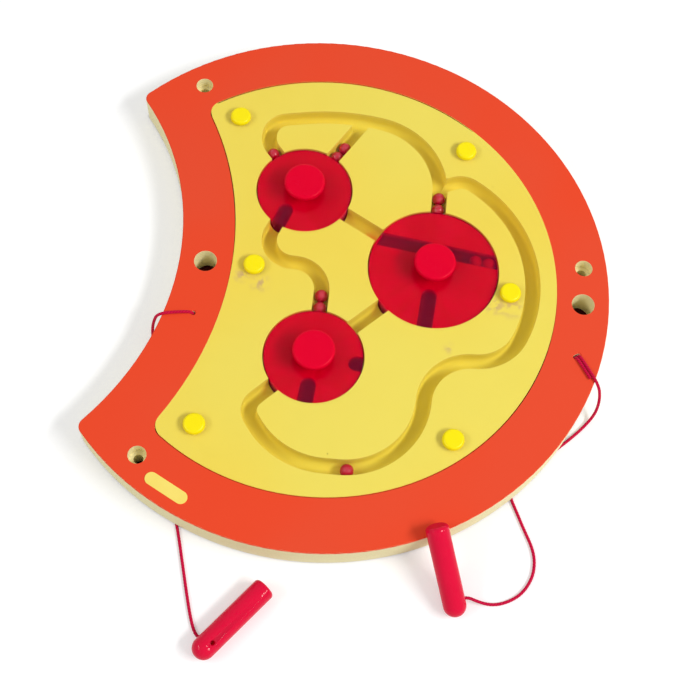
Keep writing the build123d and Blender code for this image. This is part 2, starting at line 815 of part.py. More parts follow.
os.makedirs("parts", exist_ok=True)
for name, piece in build().items():
    export_step(piece, "parts/" + name + ".step")
print("balls", [(round(x, 2), round(y, 2)) for x, y in ball_places()])
for turn in (left_bend, top_right_bend, middle_bend, bottom_bend):
    print("ball bend centre", round(turn[1].X, 4), round(turn[1].Y, 4))
print("right wand lean", round(wand_leans["right"], 2))
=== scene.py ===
import math

import bmesh
import bpy
from mathutils import Matrix, Vector


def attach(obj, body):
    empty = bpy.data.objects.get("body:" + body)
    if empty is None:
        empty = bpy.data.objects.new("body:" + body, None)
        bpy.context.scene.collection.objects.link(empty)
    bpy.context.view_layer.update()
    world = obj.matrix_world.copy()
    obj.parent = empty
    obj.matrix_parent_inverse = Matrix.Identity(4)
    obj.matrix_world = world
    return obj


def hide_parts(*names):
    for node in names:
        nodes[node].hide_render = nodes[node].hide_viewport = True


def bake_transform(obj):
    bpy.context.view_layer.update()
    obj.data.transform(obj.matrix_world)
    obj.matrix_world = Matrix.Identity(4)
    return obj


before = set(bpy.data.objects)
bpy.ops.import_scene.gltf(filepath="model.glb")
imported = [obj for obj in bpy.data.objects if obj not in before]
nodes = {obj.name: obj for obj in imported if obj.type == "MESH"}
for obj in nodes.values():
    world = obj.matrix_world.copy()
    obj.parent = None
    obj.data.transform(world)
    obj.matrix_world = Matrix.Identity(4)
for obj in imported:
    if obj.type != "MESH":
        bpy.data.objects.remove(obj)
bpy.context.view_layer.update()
print("frame loaded:", len(nodes), "nodes")


def addObject(name, data):
    piece = bpy.data.objects.new(name, data)
    bpy.context.scene.collection.objects.link(piece)
    return piece


def meshOf(build, name):
    # ends a bmesh and gives its mesh
    mesh = bpy.data.meshes.new(name)
    build.to_mesh(mesh)
    build.free()
    return mesh


def readBack(piece):
    # what the piece's modifiers or its curve come to, as a mesh
    bpy.context.view_layer.update()
    return bpy.data.meshes.new_from_object(piece.evaluated_get(bpy.context.evaluated_depsgraph_get()))


camera = {
    "place": (0.03494, -0.55491, 1.09298),
    "right": (0.99382905, 0.1021976, 0.04312163),
    "up": (-0.1108878, 0.90563068, 0.40931279),
    "lens": 63.742,
    "sensor": 36.0,
    "nearest": 0.01,
}


def makeCamera(values):
    data = bpy.data.cameras.new("camera")
    data.lens = values["lens"]
    data.sensor_width = values["sensor"]
    data.clip_start = values["nearest"]
    viewer = addObject("camera", data)
    right = Vector(values["right"]).normalized()
    up = Vector(values["up"]).normalized()
    axes = Matrix((right, up, right.cross(up))).transposed().to_4x4()
    viewer.matrix_world = Matrix.Translation(values["place"]) @ axes
    bpy.context.scene.camera = viewer


makeCamera(camera)
print("camera placed")


wandBore = {
    "diameter": 0.0046,
    "depth": 0.0090,
    "mouth": (-0.0566, -0.3577, 0.0200),
    "middle": (-0.0601, -0.3550, 0.0105),  # on the wand's own middle line
    "facets": 48,
    "weld": 0.000001,  # corners nearer than this are joined before the cut
    "crease": 30.0,  # degrees; sharper edges stay sharp
}


def boredWand(values):
    # the bore that comes out on top of the left wand, near its domed end
    mouth = Vector(values["mouth"])
    turn = (mouth - Vector(values["middle"])).to_track_quat("Z", "Y").to_matrix().to_4x4()
    radius = values["diameter"] / 2
    build = bmesh.new()
    bmesh.ops.create_cone(
        build, cap_ends=True, segments=values["facets"], radius1=radius, radius2=radius,
        depth=2 * values["depth"],  # half of the drill stands out of the wand
        matrix=Matrix.Translation(mouth) @ turn,
    )
    drill = addObject("drill", meshOf(build, "drill"))
    build = bmesh.new()
    build.from_mesh(nodes["left_wand"].data)
    bmesh.ops.remove_doubles(build, verts=build.verts, dist=values["weld"])
    piece = addObject("bored_left_wand", meshOf(build, "bored_left_wand"))
    piece.matrix_world = nodes["left_wand"].matrix_world.copy()
    cut = piece.modifiers.new("bore", "BOOLEAN")
    cut.operation = "DIFFERENCE"
    cut.solver = "EXACT"
    cut.object = drill
    bored = readBack(piece)
    piece.modifiers.clear()
    piece.data = bored
    bpy.data.objects.remove(drill)
    bored.shade_smooth()
    bored.set_sharp_from_angle(angle=math.radians(values["crease"]))
    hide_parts("left_wand")
    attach(piece, "left_wand")
    return piece


leftWand = boredWand(wandBore)
print("left wand bored:", len(leftWand.data.polygons), "faces")


cordShape = {
    "diameter": 0.003,
    "strands": 3,
    "lay": 0.0085,  # length of one full twist
    "strandDepth": 0.17,  # how deep the valleys are, as a share of the radius
    "valleyShape": 0.8,  # below 1 the valleys are narrower
    "lineFineness": 32,
    "ringGap": 0.0005,
    "ringPoints": 24,
}
cords = {
    "left_cord": {
        "points": [
            (-0.1195, -0.0561, 0.0286), (-0.1195, -0.0561, 0.0356), (-0.1314, -0.0573, 0.0356),
            (-0.1519, -0.0619, 0.0363), (-0.1571, -0.0645, 0.0220), (-0.1588, -0.0685, 0.0090),
            (-0.1569, -0.0773, 0.0017), (-0.1530, -0.0975, 0.0016), (-0.1440, -0.1365, 0.0016),
            (-0.1325, -0.1785, 0.0016), (-0.1198, -0.2170, 0.0016), (-0.1059, -0.2533, 0.0016),
            (-0.0958, -0.2868, 0.0016), (-0.0878, -0.3136, 0.0016), (-0.0807, -0.3358, 0.0016),
            (-0.0748, -0.3488, 0.0016), (-0.0682, -0.3523, 0.0016), (-0.0623, -0.3569, 0.0099),
        ],
        "length": 0.3788,
        "wand": "left_wand",
        "carries": ["left_wand_magnet"],
        "bendsFrom": (-0.1198, -0.2170, 0.0016),
        "bendsTo": (-0.0740, -0.3450, 0.0016),
    },
    "right_cord": {
        "points": [
            (0.2466, -0.0558, 0.0286), (0.2466, -0.0558, 0.0356), (0.2534, -0.0657, 0.0356),
            (0.2662, -0.0854, 0.0363), (0.2703, -0.0935, 0.0225), (0.2698, -0.1010, 0.0090),
            (0.2648, -0.1086, 0.0017), (0.2523, -0.1236, 0.0016), (0.2280, -0.1470, 0.0016),
            (0.2040, -0.1645, 0.0016), (0.1925, -0.1790, 0.0016), (0.1935, -0.1920, 0.0016),
            (0.1998, -0.2049, 0.0016), (0.2081, -0.2225, 0.0016), (0.2162, -0.2380, 0.0016),
            (0.2191, -0.2517, 0.0016), (0.2171, -0.2663, 0.0016), (0.2087, -0.2810, 0.0016),
            (0.1960, -0.2901, 0.0016), (0.1834, -0.2941, 0.0016), (0.1709, -0.2937, 0.0048),
            (0.1573, -0.2909, 0.0111), (0.1476, -0.2960, 0.0127),
        ],
        "length": 0.3601,
        "wand": "right_wand",
        "carries": ["right_wand_magnet", "right_wand"],
        "bendsFrom": (0.2050, -0.2130, 0.0016),
        "bendsTo": (0.1660, -0.2925, 0.0016),
    },
    "right_cord_tail": {
        "points": [
            (0.2438, -0.0577, 0.0286), (0.2438, -0.0577, 0.0356), (0.2511, -0.0684, 0.0356),
            (0.2581, -0.0792, 0.0356),
        ],
        "length": 0.0315,
        "wand": None,
    },
}


def routeLine(name, points, fineness):
    # the cord's smooth centre line, read back as points
    data = bpy.data.curves.new(name, "CURVE")
    data.dimensions = "3D"
    data.resolution_u = fineness
    spline = data.splines.new("NURBS")
    spline.points.add(len(points) - 1)
    for point, spot in zip(spline.points, points):
        point.co = (*spot, 1)
    spline.order_u = 3
    spline.use_endpoint_u = True
    curve = addObject(name + "_route", data)
    line = [vertex.co.copy() for vertex in readBack(curve).vertices]
    bpy.data.objects.remove(curve)
    return line


def evenSteps(line, gap):
    # the same line with its points a steady distance apart
    reached = [0.0]
    for before, after in zip(line, line[1:]):
        reached.append(reached[-1] + (after - before).length)
    count = max(2, round(reached[-1] / gap))
    steps = []
    index = 0
    for number in range(count + 1):
        target = reached[-1] * number / count
        while index < len(line) - 2 and reached[index + 1] < target:
            index += 1
        run = max(reached[index + 1] - reached[index], 1e-9)  # never divides by nothing
        steps.append(line[index].lerp(line[index + 1], (target - reached[index]) / run))
    return steps, reached[-1]


def twistedTube(name, line, shape):
    # strands laid round the line, with a carried frame so that the twist stays even
    steps, length = evenSteps(line, shape["ringGap"])
    count = shape["ringPoints"]
    build = bmesh.new()
    uvLayer = build.loops.layers.uv.new("UVMap")
    side = (steps[1] - steps[0]).normalized().orthogonal().normalized()
    rings = []
    for number, centre in enumerate(steps):
        before = steps[max(number - 1, 0)]
        after = steps[min(number + 1, len(steps) - 1)]
        ahead = (after - before).normalized()
        side = (side - ahead * side.dot(ahead)).normalized()
        other = ahead.cross(side)
        reached = length * number / (len(steps) - 1)
        ring = []
        for corner in range(count):
            angle = 2 * math.pi * corner / count
            twist = shape["strands"] * (angle + 2 * math.pi * reached / shape["lay"]) / 2
            valley = 1 - abs(math.cos(twist)) ** shape["valleyShape"]
            reach = shape["diameter"] / 2 * (1 - shape["strandDepth"] * valley)
            outward = side * math.cos(angle) + other * math.sin(angle)
            ring.append(build.verts.new(centre + outward * reach))
        rings.append((ring, reached))
    for (low, lowReach), (high, highReach) in zip(rings, rings[1:]):
        for corner in range(count):
            following = (corner + 1) % count
            face = build.faces.new((low[corner], low[following], high[following], high[corner]))
            face.smooth = True
            spots = [
                (lowReach, corner / count), (lowReach, (corner + 1) / count),
                (highReach, (corner + 1) / count), (highReach, corner / count),
            ]
            for loop, spot in zip(face.loops, spots):
                loop[uvLayer].uv = spot
    build.faces.new(list(reversed(rings[0][0])))
    build.faces.new(rings[-1][0])
    build.normal_update()
    return addObject(name, meshOf(build, name)), steps


cordPieces = {}
for cordName, values in cords.items():
    line = routeLine(cordName, values["points"], cordShape["lineFineness"])
    tube, steps = twistedTube(cordName.replace("_cord", "_twisted_cord"), line, cordShape)
    cordPieces[cordName] = tube
    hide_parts(cordName)
    if values["wand"]:
        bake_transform(tube)
    else:
        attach(tube, "panel")
print("cords laid:", len(cordPieces))


def setInput(tree, node, name, value):
    # a socket is linked, and anything else is the input's own value
    socket = node.inputs[name]
    if isinstance(value, bpy.types.NodeSocket):
        tree.links.new(value, socket)
    elif hasattr(socket.default_value, "__len__") and len(value) == 3 and len(socket.default_value) == 4:
        socket.default_value = (*value, 1)
    else:
        socket.default_value = value


def maths(tree, operation, first, second=0.0, clamp=False):
    node = tree.nodes.new("ShaderNodeMath")
    node.operation = operation
    node.use_clamp = clamp
    setInput(tree, node, 0, first)
    setInput(tree, node, 1, second)
    return node.outputs[0]


def plus(tree, first, second, clamp=False):
    return maths(tree, "ADD", first, second, clamp)


def times(tree, first, second, clamp=False):
    return maths(tree, "MULTIPLY", first, second, clamp)


def less(tree, first, second, clamp=False):
    return maths(tree, "SUBTRACT", first, second, clamp)


def inverse(tree, mask):
    return less(tree, 1.0, mask)


def between(tree, amount, first, second):
    # the first value where the amount is 0, the second where it is 1
    return plus(tree, times(tree, second, amount), times(tree, inverse(tree, amount), first))


def mixed(tree, amount, first, second, way="MIX"):
    # the same for two colours, or another way of mixing them
    node = tree.nodes.new("ShaderNodeMix")
    node.data_type = "RGBA"
    node.blend_type = way
    for index, value in ((0, amount), (6, first), (7, second)):
        setInput(tree, node, index, value)
    return node.outputs[2]


def spread(tree, value, low, high, newLow=0.0, newHigh=1.0):
    # a smooth step from low to high
    node = tree.nodes.new("ShaderNodeMapRange")
    node.interpolation_type = "SMOOTHSTEP"
    for index, number in enumerate((value, low, high, newLow, newHigh)):
        setInput(tree, node, index, number)
    return node.outputs[0]


def noise(tree, where, scale, detail=3.0, roughness=0.5):
    node = tree.nodes.new("ShaderNodeTexNoise")
    for name, value in (("Vector", where), ("Scale", scale), ("Detail", detail), ("Roughness", roughness)):
        setInput(tree, node, name, value)
    return node.outputs["Fac"]


def stretched(tree, where, scale):
    # a small number draws the pattern out along that axis
    node = tree.nodes.new("ShaderNodeMapping")
    setInput(tree, node, "Vector", where)
    setInput(tree, node, "Scale", scale)
    return node.outputs[0]


def vectorMaths(tree, operation, first, second):
    node = tree.nodes.new("ShaderNodeVectorMath")
    node.operation = operation
    setInput(tree, node, 0, first)
    setInput(tree, node, 1, second)
    return node.outputs["Value"]


def apart(tree, vector):
    # the three numbers of a place or a direction
    node = tree.nodes.new("ShaderNodeSeparateXYZ")
    tree.links.new(vector, node.inputs[0])
    return node.outputs


def place(tree):
    return tree.nodes.new("ShaderNodeTexCoord").outputs["Object"]


def trueNormal(tree):
    return tree.nodes.new("ShaderNodeNewGeometry").outputs["True Normal"]


def facing(tree, low=0.2, high=0.5):
    # how far a surface faces out of the wall
    turned = tree.nodes.new("ShaderNodeVectorTransform")
    turned.vector_type = "NORMAL"
    turned.convert_from = "WORLD"
    turned.convert_to = "OBJECT"
    tree.links.new(trueNormal(tree), turned.inputs[0])
    return spread(tree, apart(tree, turned.outputs[0])["Z"], low, high)


def heightAbove(tree, low, high):
    return spread(tree, apart(tree, place(tree))["Z"], low, high)


def distanceFrom(tree, centre, low, high):
    return spread(tree, vectorMaths(tree, "DISTANCE", place(tree), centre), low, high)


biteDistance = 0.4215  # from the panel's middle to the middle of its bite's arc


def crescent(tree, level, outerArc, biteArc):
    # a mask of the panel's own form; each arc is the two radii between which it fades
    within = inverse(tree, distanceFrom(tree, (0, 0, level), *outerArc))
    clearOfBite = distanceFrom(tree, (-biteDistance, 0, level), *biteArc)
    return maths(tree, "MINIMUM", within, clearOfBite)


def newGroup(name, inputs, outputs):
    group = bpy.data.node_groups.new(name, "ShaderNodeTree")
    for label, kind, value in inputs:
        socket = group.interface.new_socket(label, in_out="INPUT", socket_type="NodeSocket" + kind)
        socket.default_value = value
    for label, kind in outputs:
        group.interface.new_socket(label, in_out="OUTPUT", socket_type="NodeSocket" + kind)
    return group, group.nodes.new("NodeGroupInput").outputs, group.nodes.new("NodeGroupOutput")


def giveOut(group, out, **values):
    for label, value in values.items():
        group.links.new(value, out.inputs[label])
    return group


def useGroup(tree, group, **values):
    # an input is named as in the group, with _ for a space
    node = tree.nodes.new("ShaderNodeGroup")
    node.node_tree = group
    for name, value in values.items():
        setInput(tree, node, name.replace("_", " "), value)
    return node.outputs


def srgb(red, green, blue):
    # an eight-bit screen colour as the linear colour that a shader takes
    return tuple(
        c / 255 / 12.92 if c / 255 <= 0.04045 else ((c / 255 + 0.055) / 1.055) ** 2.4
        for c in (red, green, blue)
    )


woodGrain = {
    "fibreStretch": (0.05, 1.0, 1.0),
    "fibreShare": 0.6,
    "figureStretch": (0.12, 1.0, 1.0),
    "figureSize": 22.0,
    "figureShare": 0.4,
}


def makeWoodFibre(values):
    # long fibres along X, with slow figure
    group, given, out = newGroup(
        "woodFibre",
        [
            ("Pale", "Color", (1, 1, 1, 1)), ("Dark", "Color", (0, 0, 0, 1)),
            ("Fineness", "Float", 260.0), ("Contrast", "Float", 0.5),
        ],
        [("Color", "Color"), ("Height", "Float")],
    )
    here = place(group)
    along = stretched(group, here, values["fibreStretch"])
    fibres = noise(group, along, given["Fineness"], detail=4.0, roughness=0.6)
    figure = noise(group, stretched(group, here, values["figureStretch"]), values["figureSize"], detail=2.0)
    fibreTone = times(group, fibres, values["fibreShare"])
    both = plus(group, fibreTone, times(group, figure, values["figureShare"]))
    amount = times(group, spread(group, both, low=0.36, high=0.64), given["Contrast"], True)
    return giveOut(group, out, Color=mixed(group, amount, given["Pale"], given["Dark"]), Height=fibres)


plySheets = {
    "sway": 0.0007,  # how far a sheet's edge wanders up and down
    "swaySize": 18.0,
    "endStretch": (1.0, 1.0, 0.3),
    "endFineness": 900.0,
    "bandShare": 0.6,
    "fleckShare": 0.4,
}


def makePlyEdge(values):
    # the cut edge of plywood: thin sheets, every second one end grain
    group, given, out = newGroup(
        "plyEdge",
        [
            ("Pale", "Color", (1, 1, 1, 1)), ("Dark", "Color", (0, 0, 0, 1)),
            ("Sheet", "Float", 0.0015), ("Contrast", "Float", 0.5),
        ],
        [("Color", "Color"), ("Height", "Float")],
    )
    here = place(group)
    wander = less(group, noise(group, here, values["swaySize"], detail=2.0), 0.5)
    sway = times(group, wander, values["sway"])
    level = maths(group, "DIVIDE", plus(group, apart(group, here)["Z"], sway), given["Sheet"])
    bands = spread(group, maths(group, "SINE", times(group, level, math.pi)), low=-0.35, high=0.35)
    upright = stretched(group, here, values["endStretch"])
    ends = noise(group, upright, values["endFineness"], detail=2.0, roughness=0.7)
    flecks = times(group, bands, spread(group, ends, low=0.35, high=0.6))
    amount = plus(group, times(group, bands, values["bandShare"]), times(group, flecks, values["fleckShare"]))
    amount = times(group, amount, given["Contrast"], True)
    return giveOut(group, out, Color=mixed(group, amount, given["Pale"], given["Dark"]), Height=flecks)


sprayedPaint = {
    "fleckSize": 240.0,
    "clusterSize": 31.0,  # flecks show only where this coarser pattern lets them
    "unevenSize": 70.0,
    "uneven": 0.12,  # how much rougher the dullest places are
    "peelSize": 420.0,
    "waveSize": 90.0,
    "waveShare": 0.8,
}


def makePaintSkin(values):
    # sprayed lacquer: slow drift of colour, orange peel, a few sealed-in specks
    group, given, out = newGroup(
        "paintSkin",
        [
            ("Paint", "Color", (1, 1, 1, 1)), ("Drift", "Color", (1, 1, 1, 1)),
            ("Speck", "Color", (0.2, 0.1, 0.02, 1)), ("Drift Size", "Float", 5.0),
            ("Drift Amount", "Float", 0.5), ("Speck Amount", "Float", 1.0), ("Gloss", "Float", 0.4),
        ],
        [("Color", "Color"), ("Roughness", "Float"), ("Height", "Float")],
    )
    here = place(group)
    slow = noise(group, here, given["Drift Size"], detail=2.0, roughness=0.4)
    slow = spread(group, slow, low=0.35, high=0.65)
    color = mixed(group, times(group, slow, given["Drift Amount"], True), given["Paint"], given["Drift"])
    fleck = spread(group, noise(group, here, values["fleckSize"], detail=1.0), low=0.795, high=0.82)
    rare = spread(group, noise(group, here, values["clusterSize"], detail=1.0), low=0.62, high=0.64)
    fleck = times(group, times(group, fleck, rare), given["Speck Amount"], True)
    color = mixed(group, fleck, color, given["Speck"])
    uneven = times(group, noise(group, here, values["unevenSize"]), values["uneven"])
    waves = times(group, noise(group, here, values["waveSize"], detail=2.0), values["waveShare"])
    peel = plus(group, noise(group, here, values["peelSize"], detail=2.0), waves)
    return giveOut(group, out, Color=color, Roughness=plus(group, given["Gloss"], uneven), Height=peel)


roundedEdge = {
    "radius": 0.0007,
    "samples": 4,
    "leastWear": 0.35,  # between the worn patches
}


def makeEdgeWear(values):
    # where an edge turns, found from how far a rounded normal leans from the true one
    group, given, out = newGroup(
        "edgeWear",
        [("Amount", "Float", 0.5), ("Patches", "Float", 60.0)],
        [("Mask", "Float")],
    )
    rounded = group.nodes.new("ShaderNodeBevel")
    rounded.samples = values["samples"]
    rounded.inputs["Radius"].default_value = values["radius"]
    true = group.nodes.new("ShaderNodeNewGeometry").outputs["Normal"]
    lean = vectorMaths(group, "DOT_PRODUCT", rounded.outputs[0], true)
    edge = spread(group, inverse(group, lean), low=0.02, high=0.25)
    patchy = noise(group, place(group), given["Patches"], detail=4.0, roughness=0.6)
    patchy = spread(group, patchy, low=0.4, high=0.62, newLow=values["leastWear"])
    return giveOut(group, out, Mask=times(group, times(group, edge, patchy), given["Amount"], True))


def makeSoftPatch(patchSize):
    # a soft patch of another colour round one place
    group, given, out = newGroup(
        "softPatch",
        [("Place", "Vector", (0, 0, 0)), ("Reach", "Float", 0.01), ("Amount", "Float", 0.5)],
        [("Mask", "Float")],
    )
    here = place(group)
    far = vectorMaths(group, "DISTANCE", here, given["Place"])
    near = less(group, 1.0, maths(group, "DIVIDE", far, given["Reach"]), True)
    patchy = spread(group, noise(group, here, patchSize, roughness=0.6), low=0.42, high=0.6)
    return giveOut(group, out, Mask=times(group, times(group, near, patchy), given["Amount"], True))


mouldedPlastic = {
    "cloudSize": 45.0,
    "cloudDulls": 0.08,
    "hairStretch": (1.0, 0.04, 1.0),
    "hairFineness": 1500.0,
    "crossStretch": (0.05, 1.0, 1.0),
    "crossFineness": 1100.0,
    "rubDulls": 0.2,
    "rubDepth": 0.3,
    "rippleSize": 160.0,
}


def makeMouldedSkin(values):
    # moulded or cast plastic: a soft haze, hairline rubs, faint ripple
    group, given, out = newGroup(
        "mouldedSkin",
        [
            ("Plastic", "Color", (1, 1, 1, 1)), ("Haze", "Color", (1, 1, 1, 1)),
            ("Haze Amount", "Float", 0.3), ("Gloss", "Float", 0.25), ("Rubs", "Float", 0.3),
        ],
        [("Color", "Color"), ("Roughness", "Float"), ("Height", "Float")],
    )
    here = place(group)
    cloud = spread(group, noise(group, here, values["cloudSize"], roughness=0.55), low=0.3, high=0.7)
    color = mixed(group, times(group, cloud, given["Haze Amount"], True), given["Plastic"], given["Haze"])
    lengthways = stretched(group, here, values["hairStretch"])
    hair = noise(group, lengthways, values["hairFineness"], detail=2.0, roughness=0.6)
    sideways = stretched(group, here, values["crossStretch"])
    cross = noise(group, sideways, values["crossFineness"], detail=2.0, roughness=0.6)
    rubs = plus(group, spread(group, hair, low=0.6, high=0.75), spread(group, cross, low=0.62, high=0.75))
    rubs = times(group, rubs, given["Rubs"])
    uneven = plus(group, times(group, cloud, values["cloudDulls"]), times(group, rubs, values["rubDulls"]))
    ripple = noise(group, here, values["rippleSize"], detail=2.0)
    ripple = less(group, ripple, times(group, rubs, values["rubDepth"]))
    return giveOut(group, out, Color=color, Roughness=plus(group, given["Gloss"], uneven), Height=ripple)


machinedMetal = {
    "markStretch": (0.08, 0.08, 1.0),
    "markFineness": 2600.0,
    "markDulls": 0.2,
    "toneSize": 120.0,
}


def makeTurnedMetal(values):
    # fine machining marks with a slow change of tone
    group, given, out = newGroup(
        "turnedMetal",
        [
            ("Metal", "Color", (1, 1, 1, 1)), ("Dull", "Color", (0.3, 0.3, 0.3, 1)),
            ("Dulling", "Float", 0.3), ("Gloss", "Float", 0.25),
        ],
        [("Color", "Color"), ("Roughness", "Float"), ("Height", "Float")],
    )
    here = place(group)
    flattened = stretched(group, here, values["markStretch"])
    marks = noise(group, flattened, values["markFineness"], detail=2.0, roughness=0.6)
    tone = spread(group, noise(group, here, values["toneSize"], roughness=0.6), low=0.35, high=0.7)
    color = mixed(group, times(group, tone, given["Dulling"], True), given["Metal"], given["Dull"])
    rough = plus(group, given["Gloss"], times(group, marks, values["markDulls"]))
    return giveOut(group, out, Color=color, Roughness=rough, Height=marks)


cordYarn = {
    "filaments": 5,  # to a strand
    "filamentHeight": 0.3,
    "valleyEnds": 0.55,
    "valleyShadeShare": 0.65,
    "fuzzFineness": 2200.0,
    "fuzzShare": 0.35,
}


def makeCordFibre(values):
    # fine filaments that run with the twist, over the UVs of the cord, with painted shade in the valleys
    # between strands
    group, given, out = newGroup(
        "cordFibre",
        [
            ("Yarn", "Color", (1, 0, 0, 1)), ("Valley", "Color", (0.3, 0, 0, 1)),
            ("Lay", "Float", 0.0085), ("Strands", "Float", 3.0),
        ],
        [("Color", "Color"), ("Height", "Float")],
    )
    spots = apart(group, group.nodes.new("ShaderNodeUVMap").outputs[0])
    turns = plus(group, spots["Y"], maths(group, "DIVIDE", spots["X"], given["Lay"]))
    strand = times(group, turns, given["Strands"])
    valley = maths(group, "ABSOLUTE", maths(group, "COSINE", times(group, strand, math.pi)))
    # painted shade: darker deep in each valley of the twist
    deepShade = spread(group, valley, low=0.0, high=values["valleyEnds"], newLow=1.0, newHigh=0.0)
    yarns = maths(group, "SINE", times(group, strand, 2 * values["filaments"] * math.pi))
    fuzz = noise(group, place(group), values["fuzzFineness"], detail=2.0, roughness=0.7)
    fuzzTone = times(group, spread(group, fuzz, low=0.5, high=0.75), values["fuzzShare"])
    tone = plus(group, times(group, deepShade, values["valleyShadeShare"]), fuzzTone, True)
    height = plus(group, times(group, yarns, values["filamentHeight"]), fuzz)
    return giveOut(group, out, Color=mixed(group, tone, given["Yarn"], given["Valley"]), Height=height)


woodFibre = makeWoodFibre(woodGrain)
plyEdge = makePlyEdge(plySheets)
paintSkin = makePaintSkin(sprayedPaint)
edgeWear = makeEdgeWear(roundedEdge)
softPatch = makeSoftPatch(patchSize=150.0)
mouldedSkin = makeMouldedSkin(mouldedPlastic)
turnedMetal = makeTurnedMetal(machinedMetal)
cordFibre = makeCordFibre(cordYarn)
print("shared finishes made")


def startMaterial(name, specular=0.5, **plain):
    # plain values go straight to the shader's own sockets
    material = bpy.data.materials.new(name)
    material.use_nodes = True
    tree = material.node_tree
    shader = tree.nodes["Principled BSDF"]
    shader.inputs["Specular IOR Level"].default_value = specular
    for label, value in plain.items():
        shader.inputs[label.replace("_", " ")].default_value = value
    return material, tree, shader


def bump(tree, shader, height, distance):
    node = tree.nodes.new("ShaderNodeBump")
    node.inputs["Strength"].default_value = 1.0
    node.inputs["Distance"].default_value = distance
    tree.links.new(height, node.inputs["Height"])
    tree.links.new(node.outputs[0], shader.inputs["Normal"])


def showMix(tree, amount, first, second):
    # the first shader shows where the amount is 0, the second where it is 1
    choice = tree.nodes.new("ShaderNodeMixShader")
    for index, value in enumerate((amount, first, second)):
        tree.links.new(value, choice.inputs[index])
    tree.links.new(choice.outputs[0], tree.nodes["Material Output"].inputs["Surface"])


ply = {
    "pale": srgb(250, 242, 194),
    "dark": srgb(228, 210, 156),
    "sheet": 0.00155,  # thickness of one sheet
    "faceContrast": 0.5,
    "edgeContrast": 0.75,
    "roughness": 0.62,
    "specular": 0.3,
}


def bareWood(tree, values):
    # fibres on the flat faces, sheets on the cut edges
    tones = {"Pale": values["pale"], "Dark": values["dark"]}
    face = useGroup(tree, woodFibre, Contrast=values["faceContrast"], **tones)
    edge = useGroup(tree, plyEdge, Sheet=values["sheet"], Contrast=values["edgeContrast"], **tones)
    flat = spread(tree, maths(tree, "ABSOLUTE", apart(tree, trueNormal(tree))["Z"]), low=0.6, high=0.9)
    height = plus(tree, times(tree, face["Height"], flat), edge["Height"])
    return mixed(tree, flat, edge["Color"], face["Color"]), height


def plyMaterial(values):
    material, tree, shader = startMaterial(
        "birchPly", specular=values["specular"], Roughness=values["roughness"],
    )
    color, height = bareWood(tree, values)
    tree.links.new(color, shader.inputs["Base Color"])
    bump(tree, shader, height, distance=0.00008)
    return material


orangeFrame = {
    "paint": srgb(236, 74, 42),
    "drift": srgb(231, 79, 50),
    "driftSize": 6.0,
    "driftAmount": 0.7,
    "speck": srgb(120, 40, 20),
    "speckAmount": 0.6,
    "gloss": 0.42,
    "specular": 0.07,
    "rubbed": srgb(244, 138, 92),
    "wear": 0.35,
    "wearPatches": 45.0,
    "paintEnds": (0.0324, 0.0330),  # heights, on the rounded edge
    "innerWallPaintAndLight": srgb(250, 84, 44),  # the wall round the yellow board: orange paint, made brighter than the top as painted light in the shaded joint
    "innerLevel": 0.03,
    "innerArc": (0.234, 0.236),
    "innerBite": (0.321, 0.323),
}


def lacquer(tree, values):
    return useGroup(
        tree, paintSkin, Paint=values["paint"], Drift=values["drift"], Speck=values["speck"],
        Drift_Size=values["driftSize"], Drift_Amount=values["driftAmount"],
        Speck_Amount=values["speckAmount"], Gloss=values["gloss"],
    )


def rubbedEdges(tree, color, values):
    worn = useGroup(tree, edgeWear, Amount=values["wear"], Patches=values["wearPatches"])["Mask"]
    return mixed(tree, worn, color, values["rubbed"])


def orangeMaterial(values, wood):
    material, tree, shader = startMaterial("orangeLacquer", specular=values["specular"])
    woodColor, woodHeight = bareWood(tree, wood)
    paint = lacquer(tree, values)
    onTop = times(tree, facing(tree), heightAbove(tree, *values["paintEnds"]))
    # orange paint on the wall round the yellow board, brightened as painted light in the joint
    inside = crescent(tree, values["innerLevel"], values["innerArc"], values["innerBite"])
    sides = mixed(tree, inside, woodColor, values["innerWallPaintAndLight"])
    color = mixed(tree, onTop, sides, rubbedEdges(tree, paint["Color"], values))
    tree.links.new(color, shader.inputs["Base Color"])
    rough = between(tree, onTop, wood["roughness"], paint["Roughness"])
    tree.links.new(rough, shader.inputs["Roughness"])
    bump(tree, shader, between(tree, onTop, woodHeight, paint["Height"]), distance=0.00006)
    return material


yellowBoard = {
    "paint": srgb(243, 217, 90),
    "drift": srgb(240, 223, 104),
    "driftSize": 4.0,
    "driftAmount": 0.8,
    "speck": srgb(120, 96, 30),
    "speckAmount": 0.9,
    "gloss": 0.42,
    "specular": 0.07,
    "rubbed": srgb(255, 226, 140),
    "wear": 0.55,
    "wearPatches": 50.0,
    "grooveShade": srgb(250, 249, 214),
    "grooveShadeEnds": (0.0292, 0.0328),  # heights; below them the grooves' painted shade is full
    "paintedJointLight": srgb(255, 118, 56),  # painted light: bright orange on the yellow board's outer wall, so the shaded joint shows orange and less dark
    "outerLevel": 0.03,
    "outerArc": (0.2221, 0.2229),
    "outerBite": (0.3321, 0.3329),
    "patchTint": srgb(206, 172, 124),
    "tintedPatches": [  # pinkish-grey patches, four in pairs below two caps and one alone; place, reach and amount
        ((-0.0793, -0.0113, 0.034), 0.0100, 1.0),
        ((-0.0611, -0.0172, 0.034), 0.0120, 1.0),
        ((0.1650, -0.0138, 0.034), 0.0125, 1.0),
        ((0.1814, -0.0139, 0.034), 0.0150, 0.9),
        ((0.1238, -0.0637, 0.034), 0.0075, 0.7),
    ],
}


